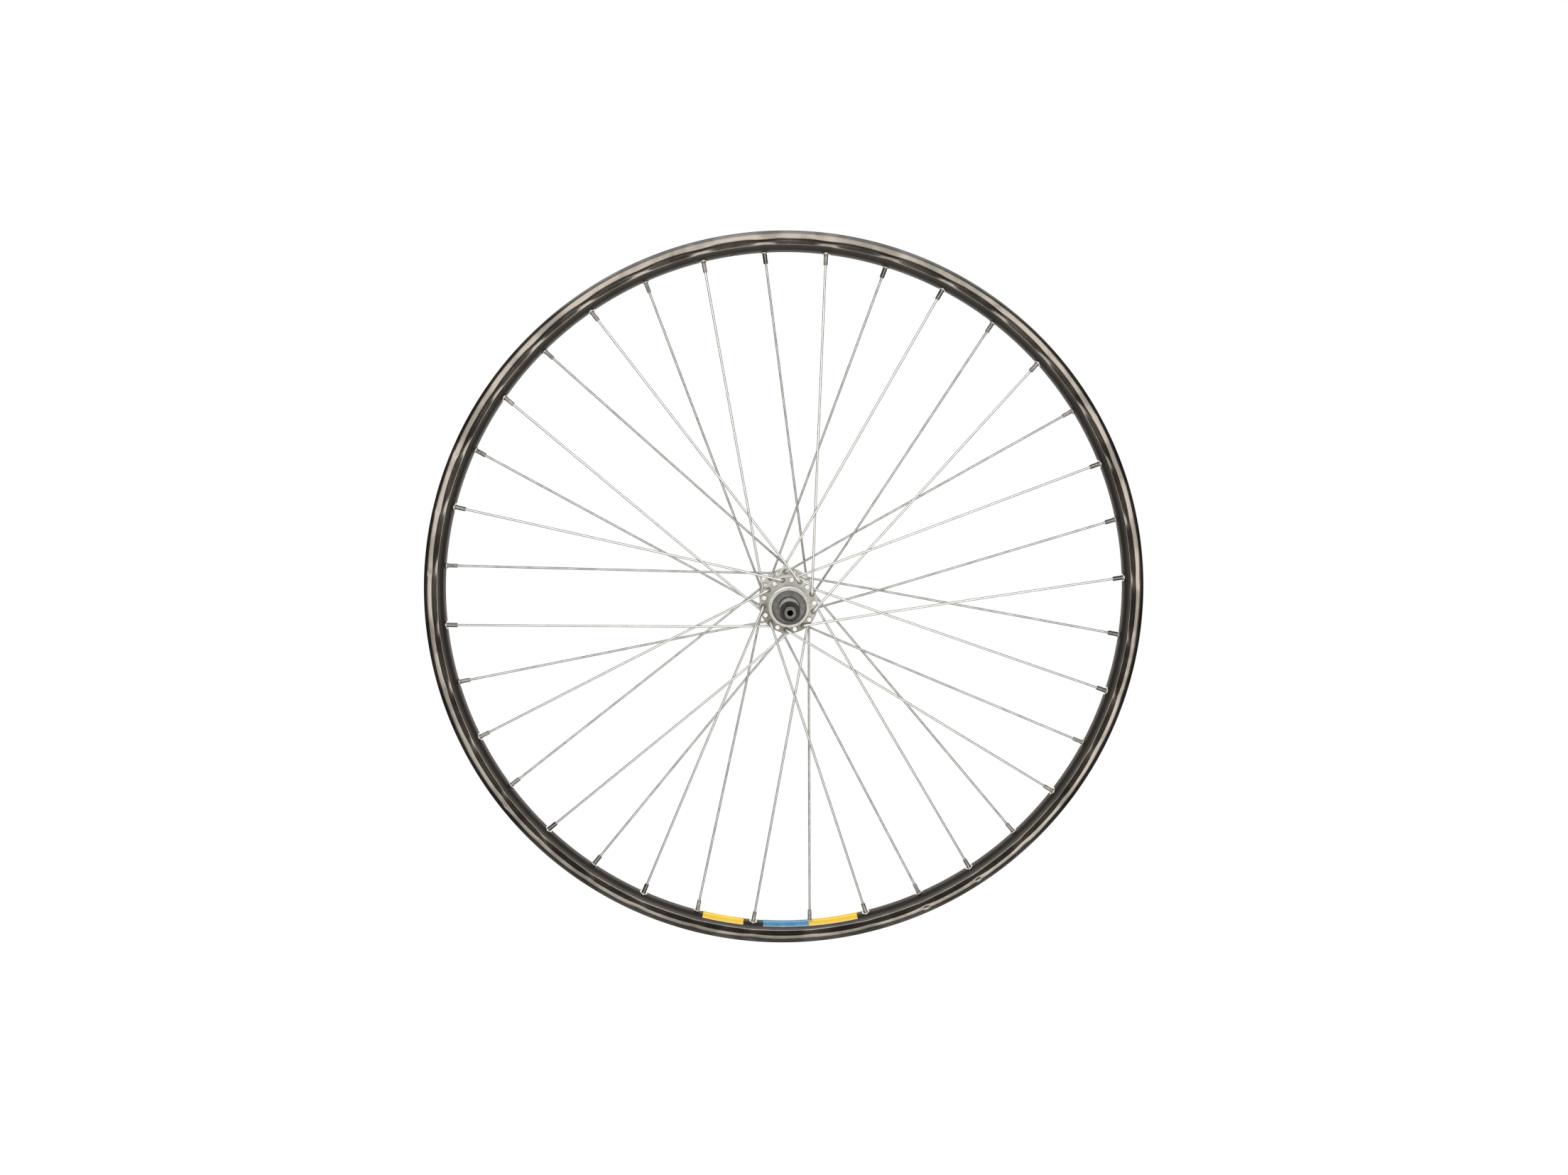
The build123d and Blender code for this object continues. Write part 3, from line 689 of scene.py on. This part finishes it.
def hoop_tree():
    """A grid whose rows are the section and whose columns go round the wheel."""
    shaper = Shaper("rim_hoop")
    swell = shaper.input("Swell", 0.42 * MM)
    swell_length = shaper.input("Swell length", 7.5 * MM)
    swell_radius = shaper.input("Swell radius", RIM_RADIUS - 8.9 * MM)
    swell_height = shaper.input("Swell height", 2.6 * MM)
    waviness = shaper.input("Waviness", 0.16 * MM)
    rows = len(section)
    sizes = {"Size X": 1.0, "Size Y": 1.0, "Vertices X": HOOP_STEPS + 1, "Vertices Y": rows + 1}
    grid = shaper.node("GeometryNodeMeshGrid", None, sizes)
    position = shaper.node("GeometryNodeInputPosition")
    across, up, _ = shaper.split(position)
    row = ((up + 0.5) * rows).math("ROUND").modulo(rows)
    settings = {"data_type": "FLOAT_VECTOR", "domain": "POINT"}
    inputs = {"Geometry": shaper.given(), "Value": position, "Index": row}
    radius, along, _ = shaper.split(shaper.node("GeometryNodeSampleIndex", settings, inputs))
    turn = (across + 0.5) * 360
    from_spoke = (turn - (FIRST_ANGLE - PITCH / 2)).modulo(PITCH) - PITCH / 2
    distance = from_spoke * (RIM_RADIUS * radians(1))
    lift = distance.bell(0, swell_length) * radius.bell(swell_radius, swell_height) * swell
    angle = turn * radians(1)
    cosine, sine = angle.math("COSINE"), angle.math("SINE")
    round_wheel = shaper.vector(cosine * WAVES_ROUND, sine * WAVES_ROUND, radius * WAVES_ACROSS)
    inputs = {"Vector": round_wheel, "Scale": 1.0, "Detail": 1.0}
    wave = shaper.node("ShaderNodeTexNoise", None, inputs) - 0.5
    lift = lift + wave * waviness * radius.bell(WIDEST_RADIUS, 4 * MM)
    along = along + along.math("SIGN") * lift
    inputs = {"Geometry": grid, "Position": shaper.vector(radius * cosine, along, radius * sine)}
    hoop = shaper.node("GeometryNodeSetPosition", None, inputs)
    seams = {"Geometry": hoop, "Distance": 0.001 * MM}
    return shaper, shaper.node("GeometryNodeMergeByDistance", None, seams)


rim_shaper, hoop = hoop_tree()
print(HOOP_STEPS, "columns round the wheel,", len(rim_shaper.values), "named inputs")

# %% [markdown]
# ## Holes in the rim
# Each eyelet's cup opens in the tyre seat, and the valve's hole goes right through the rim. Holes
# could be rings of faces in the grid, but they stand across its columns at a slant, so round cutters
# along the spokes' own lines are taken out of the hoop. They start outside the rim and stop short of
# the spoke bed, where the eyelet's ring covers the metal. The cutters are instances on points that
# carry those directions.

# %% Rim with its holes
VALVE_ANGLE = 98.7
SOCKET_HOLE, SOCKET_LENGTH = 3.65 * MM, 18 * MM  # a cutter's radius and its whole length
VALVE_HOLE, VALVE_LENGTH = 3.25 * MM, 24 * MM
HOLE_CORNERS = 40


def drill(shaper, name, radius, length, points):
    """Round cutters at points, each along its point's direction."""
    sizes = {"Vertices": HOLE_CORNERS, "Radius": shaper.input(name, radius), "Depth": length}
    cutter = shaper.node("GeometryNodeMeshCylinder", None, sizes)
    copies = shaper.copies(cutter, shaper.mesh_of(points))
    return shaper.node("GeometryNodeRealizeInstances", None, {0: copies})


valve_way = Vector((cos(radians(VALVE_ANGLE)), 0, sin(radians(VALVE_ANGLE))))
valve_point = points_mesh("valve", [valve_way * (RIM_RADIUS + BED_RADIUS) / 2], [valve_way])
mouths = [place + along * (RIM_RADIUS - BED_RADIUS) for place, along in lines]
socket_points = points_mesh("socket_mouths", mouths, [along for _, along in lines])
sockets = drill(rim_shaper, "Socket hole", SOCKET_HOLE, SOCKET_LENGTH, socket_points)
valve = drill(rim_shaper, "Valve hole", VALVE_HOLE, VALVE_LENGTH, valve_point)
rim_shaper.end(rim_shaper.less(hoop, sockets, valve, solver="MANIFOLD"), "anodised_rim")
rim = rim_shaper.grow("rim_hoop", section_mesh)
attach(rim, BODY)
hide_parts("rim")
print(len(rim.data.polygons), "faces in the rim")

# %% [markdown]
# ## Shapes of an eyelet and a nipple
# An eyelet is pressed from sheet: a ring on the spoke bed, a neck and a cup up to the seat. A
# nipple is a brass nut whose head sits in that cup, with four flats for the key and a slot for a
# driver. A Screw modifier would turn a profile into such a shape, but it can't cut the flats, so both
# are drawn as rings of points, and a ring on the flats is squared off.


# %% Shapes from rings
def lathe(name, rings, corners, flat=None):
    """A closed shape of rings (height, radius), each cut to a square where flat says so."""
    made = bmesh.new()
    layers = []
    for height, radius in rings:
        half = flat(height) if flat else radius
        layer = []
        for i in range(corners):
            t = 2 * pi * (i + 0.5) / corners
            reach = min(radius, half / max(abs(cos(t)), abs(sin(t)))) if half < radius else radius
            layer.append(made.verts.new((reach * cos(t), reach * sin(t), height)))
        layers.append(layer)
    for one, other in zip(layers, layers[1:]):
        for i in range(corners):
            j = (i + 1) % corners
            made.faces.new((one[i], one[j], other[j], other[i]))
    if rings[0] == rings[-1]:
        bmesh.ops.remove_doubles(made, verts=made.verts, dist=1e-7)
    else:
        made.faces.new(list(reversed(layers[0])))
        made.faces.new(layers[-1])
    bmesh.ops.recalc_face_normals(made, faces=made.faces)
    mesh = bpy.data.meshes.new(name)
    made.to_mesh(mesh)
    made.free()
    return mesh


EYELET_CORNERS = 28
BORE, NECK, RING = 2.15 * MM, 2.65 * MM, 3.5 * MM
CUP, CUP_BORE = 3.6 * MM, 3.1 * MM
CUP_FLOOR, CUP_TOP = 3.45 * MM, 12.85 * MM
eyelet_rings = [
    (0.0, NECK),
    (0.05 * MM, RING - 0.1 * MM),
    (-0.05 * MM, RING),
    (-0.22 * MM, RING - 0.04 * MM),
    (-0.42 * MM, RING - 0.28 * MM),
    (-0.5 * MM, RING - 0.62 * MM),
    (-0.46 * MM, BORE + 0.3 * MM),
    (-0.3 * MM, BORE + 0.06 * MM),
    (0.0, BORE),
    (CUP_FLOOR, BORE),
    (CUP_FLOOR + 0.5 * MM, CUP_BORE),
    (CUP_TOP, CUP_BORE),
    (CUP_TOP + 0.12 * MM, (CUP + CUP_BORE) / 2),
    (CUP_TOP, CUP),
    (CUP_FLOOR - 0.2 * MM, CUP),
    (CUP_FLOOR - 0.5 * MM, NECK),
    (0.0, NECK),
]
eyelet_shape = lathe("eyelet_shape", eyelet_rings, EYELET_CORNERS)
print(len(eyelet_shape.polygons), "faces an eyelet")

# %% Nipple
NIPPLE_CORNERS = 32
NIPPLE, FLAT, HEAD = 2.0 * MM, 1.68 * MM, 2.9 * MM
NIPPLE_END, ROUND_FROM = -9.15 * MM, -1.2 * MM
HEAD_TOP = CUP_FLOOR + 2.1 * MM
nipple_rings = [
    (NIPPLE_END + 0.5 * MM, 1.02 * MM),
    (NIPPLE_END, 1.25 * MM),
    (NIPPLE_END, 1.62 * MM),
    (NIPPLE_END + 0.12 * MM, 1.86 * MM),
    (NIPPLE_END + 0.4 * MM, NIPPLE),
    (ROUND_FROM - 0.5 * MM, NIPPLE),
    (ROUND_FROM, NIPPLE),
    (CUP_FLOOR - 0.3 * MM, NIPPLE),
    (CUP_FLOOR + 0.25 * MM, HEAD - 0.5 * MM),
    (CUP_FLOOR + 0.6 * MM, HEAD),
    (CUP_FLOOR + 1.4 * MM, HEAD),
    (CUP_FLOOR + 1.9 * MM, HEAD - 0.4 * MM),
    (HEAD_TOP, HEAD - 1.2 * MM),
]


def nipple_flat(height):
    """Half the width over the flats, which stop short of the rim and of the free end."""
    return FLAT if NIPPLE_END + 0.1 * MM < height < ROUND_FROM - 0.3 * MM else NIPPLE


nipple_shape = lathe("nipple_shape", nipple_rings, NIPPLE_CORNERS, nipple_flat)
print(len(nipple_shape.polygons), "faces a nipple")

# %% [markdown]
# ## One of each at every station
# There are 36 of each, and each follows its own spoke. No two nipples stop at the same turn, because
# each is screwed up until its spoke is tight. An array along a circle would turn them all alike, so
# one tree sets a shape at the stations, along their directions, with a random turn of fixed seed.

# %% Eyelets and nipples in place
DRIVER_SLOT, SLOT_LENGTH, SLOT_HEIGHT = 1.0 * MM, 8 * MM, 1.6 * MM


def slotted(shaper, part):
    """A nipple with the driver's slot cut across its head."""
    width = shaper.input("Driver slot", DRIVER_SLOT)
    size = shaper.vector(width, SLOT_LENGTH, SLOT_HEIGHT)
    cutter = shaper.node("GeometryNodeMeshCube", None, {0: size})
    inputs = {"Geometry": cutter, "Translation": (0, 0, HEAD_TOP)}
    cutter = shaper.node("GeometryNodeTransform", None, inputs)
    return shaper.less(part, cutter, solver="EXACT")


def at_stations(name, shape, slot, seed, finish_part=None):
    """A shape at every station along its spoke, each turned by chance about the spoke."""
    shaper = Shaper(name)
    part = shaper.mesh_of(shape)
    if finish_part:
        part = finish_part(shaper, part)
    inputs = {2: 0.0, 3: 2 * pi, "Seed": seed}
    chance = shaper.node("FunctionNodeRandomValue", {"data_type": "FLOAT"}, inputs, output=1)
    twist = shaper.node("FunctionNodeEulerToRotation", None, {0: shaper.vector(0.0, 0.0, chance)})
    shaper.end(shaper.copies(part, shaper.given(), twist), slot)
    piece = shaper.grow(name, stations)
    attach(piece, BODY)
    return piece


eyelets = at_stations("pressed_eyelets", eyelet_shape, "eyelet_steel", 5)
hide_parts("eyelets")
nipples = at_stations("spoke_nipples", nipple_shape, "nipple_brass", 11, slotted)
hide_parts("nipples_drive_side", "nipples_left_side")
print(len(eyelets.data.polygons), "faces in the eyelets,", len(nipples.data.polygons), "in the nipples")

# %% [markdown]
# ## Cores for the threads
# The freewheel screws onto the hub shell, and nuts onto both ends of the axle. These threads are
# plain cylinders in the model. A thread could be a bump in the finish, but the outline would stay
# smooth, so each core is made a little thinner in a copy of the piece, which leaves room for a ridge
# up to the old width.

# %% Hub shell and axle with thinner cores
THREAD_RADIUS, THREAD_CORE = 17.4 * MM, 16.9 * MM
AXLE_RADIUS, AXLE_CORE = 5.0 * MM, 4.55 * MM
THREAD_ENDS = (-39.2 * MM, -27.8 * MM)
AXLE_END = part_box("axle")[1].y


def with_thin_core(name, new_name, radii, ends, body, slot):
    """A copy of a piece whose cylinder of the first radius, between two ends, has the second."""
    old_radius, new_radius = radii
    start, stop = ends
    mesh = wheel_nodes[name].data.copy()
    mesh.name = new_name
    moved = 0
    for vertex in mesh.vertices:
        radius = hypot(vertex.co.x, vertex.co.z)
        if abs(radius - old_radius) < 0.03 * MM and start < vertex.co.y < stop:
            vertex.co.x *= new_radius / radius
            vertex.co.z *= new_radius / radius
            moved += 1
    piece = put_in_scene(new_name, mesh)
    dress(piece, slot)
    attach(piece, body)
    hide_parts(name)
    print(new_name, moved, "vertices moved in")


core_ends = (THREAD_ENDS[0] - 0.1 * MM, THREAD_ENDS[1] + 0.1 * MM)
with_thin_core("hub_shell", "hub_body", (THREAD_RADIUS, THREAD_CORE), core_ends, BODY, "hub_alloy")
axle_ends = (-AXLE_END, AXLE_END)
with_thin_core("axle", "axle_core", (AXLE_RADIUS, AXLE_CORE), axle_ends, "axle_set", "axle_steel")

# %% [markdown]
# ## Threads
# A thread is a ridge wound about a core. A Screw modifier could wind it, but Curve to Mesh shows the
# two things that make it: a spiral and a small four-cornered profile. The spiral's radius lets the
# profile's corner reach the old width, and its inner corner sinks into the core.

# %% Wound ridges
LOCKNUT_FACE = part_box("locknut_left")[1].y
PROFILE_SHARE = 0.62  # the profile's radius as a share of the thread's depth


def wound_ridge(name, radii, pitch, ends, body, slot):
    """A ridge wound about the axle from end to end, between a crest and a core radius."""
    start, stop = ends
    crest_radius, core_radius = radii
    profile_radius = (crest_radius - core_radius) * PROFILE_SHARE
    shaper = Shaper(name)
    turns = (stop - start) / shaper.input("Pitch", pitch)
    spiral_radius = shaper.input("Crest radius", crest_radius) - profile_radius
    sizes = {"Resolution": 44, "Rotations": turns, "Height": stop - start}
    sizes["Start Radius"] = sizes["End Radius"] = spiral_radius
    spiral = shaper.node("GeometryNodeCurveSpiral", None, sizes)
    onto_axle = {"Geometry": spiral, "Translation": (0, stop, 0), "Rotation": (pi / 2, 0, 0)}
    spiral = shaper.node("GeometryNodeTransform", None, onto_axle)
    sizes = {"Resolution": 4, "Radius": profile_radius}
    profile = shaper.node("GeometryNodeCurvePrimitiveCircle", None, sizes)
    swept = {"Curve": spiral, "Profile Curve": profile, "Fill Caps": True}
    shaper.end(shaper.node("GeometryNodeCurveToMesh", None, swept), slot)
    piece = shaper.grow(name, empty_seed)
    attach(piece, body)
    print(len(piece.data.polygons), "faces in", name)


empty_seed = bpy.data.meshes.new("nothing")
thread_pitch, axle_pitch = 25.4 * MM / 24, 1 * MM
thread_radii, axle_radii = (THREAD_RADIUS, THREAD_CORE), (AXLE_RADIUS, AXLE_CORE)
thread_run = (THREAD_ENDS[0] + 0.6 * MM, THREAD_ENDS[1] - 0.5 * MM)
wound_ridge("freewheel_thread", thread_radii, thread_pitch, thread_run, BODY, "hub_alloy")
near, far = LOCKNUT_FACE + 0.3 * MM, AXLE_END - 0.8 * MM
for name, ends in {"axle_thread_drive": (-far, -near), "axle_thread_left": (near, far)}.items():
    wound_ridge(name, axle_radii, axle_pitch, ends, "axle_set", "axle_steel")

# %% [markdown]
# ## Locknut teeth
# The face of a locknut bites the frame with fine radial teeth. A bump would do from afar, but they
# catch the light close by. They repeat about the axle, so they are one small ridge set round a circle
# of points, on both ends of the axle set.

# %% Teeth round both faces
TEETH = 40
TOOTH_CIRCLE = 6.75 * MM
TOOTH_LENGTH, TOOTH_WIDTH = 2.3 * MM, 0.5 * MM


def tooth_points():
    """The middle of each tooth, with its direction away from the axle."""
    points, directions = [], []
    for face in (-LOCKNUT_FACE, LOCKNUT_FACE):
        for i in range(TEETH):
            t = 2 * pi * i / TEETH
            points.append((TOOTH_CIRCLE * cos(t), face, TOOTH_CIRCLE * sin(t)))
            directions.append((cos(t), 0, sin(t)))
    return points_mesh("tooth_points", points, directions)


shaper = Shaper("locknut_teeth")
sizes = {"Vertices": 4, "Radius": shaper.input("Tooth width", TOOTH_WIDTH) / 2}
sizes["Depth"] = shaper.input("Tooth length", TOOTH_LENGTH)
ridge = shaper.node("GeometryNodeMeshCylinder", None, sizes)
shaper.end(shaper.copies(ridge, shaper.given()), "locknut_steel")
teeth = shaper.grow("locknut_teeth", tooth_points())
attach(teeth, "axle_set")
for helper in helpers:
    bpy.data.objects.remove(helper)
print(len(teeth.data.polygons), "faces in the teeth,", len(helpers), "helper objects removed")

# %% [markdown]
# ## Camera
# The camera stands a metre in front of the drive side, a little above the axle, and looks down by
# eight degrees, which is what the ellipses of the rim and the flanges say. It could be set by eye,
# but its place was worked out from the outlines and the spokes, so hub and rim both line up. Its lens
# is short, as on a telephone, so the near side of the hub looks large beside the far flange.

# %% Camera
CAMERA_PLACE = Vector((-0.02528, -0.98853, 0.15046))
LOOK_DOWN, LOOK_ASIDE = radians(7.98), radians(-2.33)
LENS, SENSOR_WIDTH, SHIFT_ASIDE = 25.856, 36, -0.0133
camera_data = bpy.data.cameras.new("camera")
camera_data.sensor_width = SENSOR_WIDTH
camera_data.lens = LENS
camera_data.shift_x = SHIFT_ASIDE
camera_data.clip_start, camera_data.clip_end = 0.01, 50
camera = put_in_scene("camera", camera_data)
camera.location = CAMERA_PLACE
camera.rotation_euler = (pi / 2 - LOOK_DOWN, 0, LOOK_ASIDE)
bpy.context.scene.camera = camera
print("camera at", tuple(round(v, 3) for v in camera.location))

# %% [markdown]
# ## Sky and room
# The wheel hangs before a white sweep, so what the camera sees past it is plain white. That white
# can't also be the light, because the dark rim would mirror it and turn grey. So the world looks
# white to the camera only: for every other ray it is a dim room, with a band of soft, slightly blue
# sky in front, and a ceiling that lights matt surfaces alone.

# %% World
ROOM_LIGHT, SKY_LIGHT, CEILING_LIGHT = 0.07, 1.2, 0.75
ROOM_COLOUR, SKY_COLOUR, WHITE, BLACK = (1.0, 0.96, 0.91), (0.86, 0.93, 1.0), (1, 1, 1), (0, 0, 0)
SKY_FROM, SKY_TO = 0.54, 0.88  # heights of a ray's direction, from 0 level to 1 straight up
world = bpy.data.worlds.new("studio")
bpy.context.scene.world = world
world.use_nodes = True
world.node_tree.nodes.clear()
room = Tree(world.node_tree)
_, back, height = room.split(room.node("ShaderNodeTexCoord", output="Generated"))
in_front = (-back).step(0.35, 0.2)
sky = height.step(SKY_FROM, 0.06) * (1 - height.step(SKY_TO, 0.1)) * in_front
seen = room.node("ShaderNodeLightPath", output="Is Camera Ray")
ceiling = room.also(seen, "Is Diffuse Ray") * height.step(0.3, 0.6)
light = ROOM_LIGHT + sky * SKY_LIGHT + ceiling * CEILING_LIGHT
colour = room.mix(seen, room.mix(sky, ROOM_COLOUR, SKY_COLOUR), WHITE)
inputs = {"Color": colour, "Strength": seen + (1 - seen) * light}
background = room.node("ShaderNodeBackground", None, inputs)
room.node("ShaderNodeOutputWorld", None, {"Surface": background})
print("sky", SKY_LIGHT, "over a room of", ROOM_LIGHT)

# %% [markdown]
# ## Ring lamps
# The bright line on the rim's walls runs all the way round, so its light surrounds the lens, and the
# dark band below it is the lens's own side of the room. Lamps in a circle would leave gaps in the
# line, so the lamp is one flat glowing ring with a dark middle, and a second one does the same for
# the back. In the photograph the line is dimmer at the low left than at the top. It mirrors its own
# side of the lamp, so each ring glows less at its low left.

# %% Lamps before and behind the wheel
LAMP_DISTANCE, LAMP_HEIGHT = 1.2, -0.03
LAMP_INNER, LAMP_OUTER = 0.36, 1.08
LAMP_LIGHT = 2.65
LAMP_COLOUR, LOW_LEFT_COLOUR = (1.0, 0.965, 0.90), (0.66, 0.645, 0.61)
LAMP_STEPS = 64


def ring_lamp(name, y):
    """A flat glowing ring about the axle's line, unseen by the camera itself."""
    turns = [2 * pi * i / LAMP_STEPS for i in range(LAMP_STEPS)]
    corners = [
        (radius * cos(t), y, LAMP_HEIGHT + radius * sin(t))
        for radius in (LAMP_INNER, LAMP_OUTER)
        for t in turns
    ]
    faces = []
    for i in range(LAMP_STEPS):
        j = (i + 1) % LAMP_STEPS
        faces.append((i, j, LAMP_STEPS + j, LAMP_STEPS + i))
    mesh = bpy.data.meshes.new(name)
    mesh.from_pydata(corners, [], faces)
    glow = Finish(name, BLACK, 0.0, 1.0, emission_strength=LAMP_LIGHT)
    low_left = (glow.x * -0.5 - glow.z * 0.87).step(0.54, 0.34)
    glow.set(emission_color=glow.mix(low_left, LAMP_COLOUR, LOW_LEFT_COLOUR))
    mesh.materials.append(glow.material)
    lamp = put_in_scene(name, mesh)
    lamp.visible_camera = False


ring_lamp("front_lamp", -LAMP_DISTANCE)
ring_lamp("back_lamp", LAMP_DISTANCE)
print("ring lamps at", LAMP_DISTANCE, "m")

# %% [markdown]
# ## Floor
# The photograph shows no floor under the wheel, only white. A wide white floor would throw light up
# onto the rim's underside, which is dark, so the floor is small and far below, and it glows white
# for the camera alone.

# %% Floor
FLOOR_DROP, FLOOR_HALF = 1.3, 1.2
square = [(-1, -1), (1, -1), (1, 1), (-1, 1)]
corners = [(x * FLOOR_HALF, y * FLOOR_HALF, -FLOOR_DROP) for x, y in square]
floor_mesh = bpy.data.meshes.new("floor")
floor_mesh.from_pydata(corners, [], [(0, 1, 2, 3)])
floor = put_in_scene("floor", floor_mesh)
paint = Finish("pale_floor", (0.3, 0.3, 0.3), 0.0, 0.9, emission_strength=1.0)
seen = paint.node("ShaderNodeLightPath", output="Is Camera Ray")
paint.set(emission_color=paint.mix(seen, BLACK, WHITE))
floor_mesh.materials.append(paint.material)
bpy.context.scene.view_settings.view_transform = "Standard"
print("floor", FLOOR_DROP, "m below the axle")
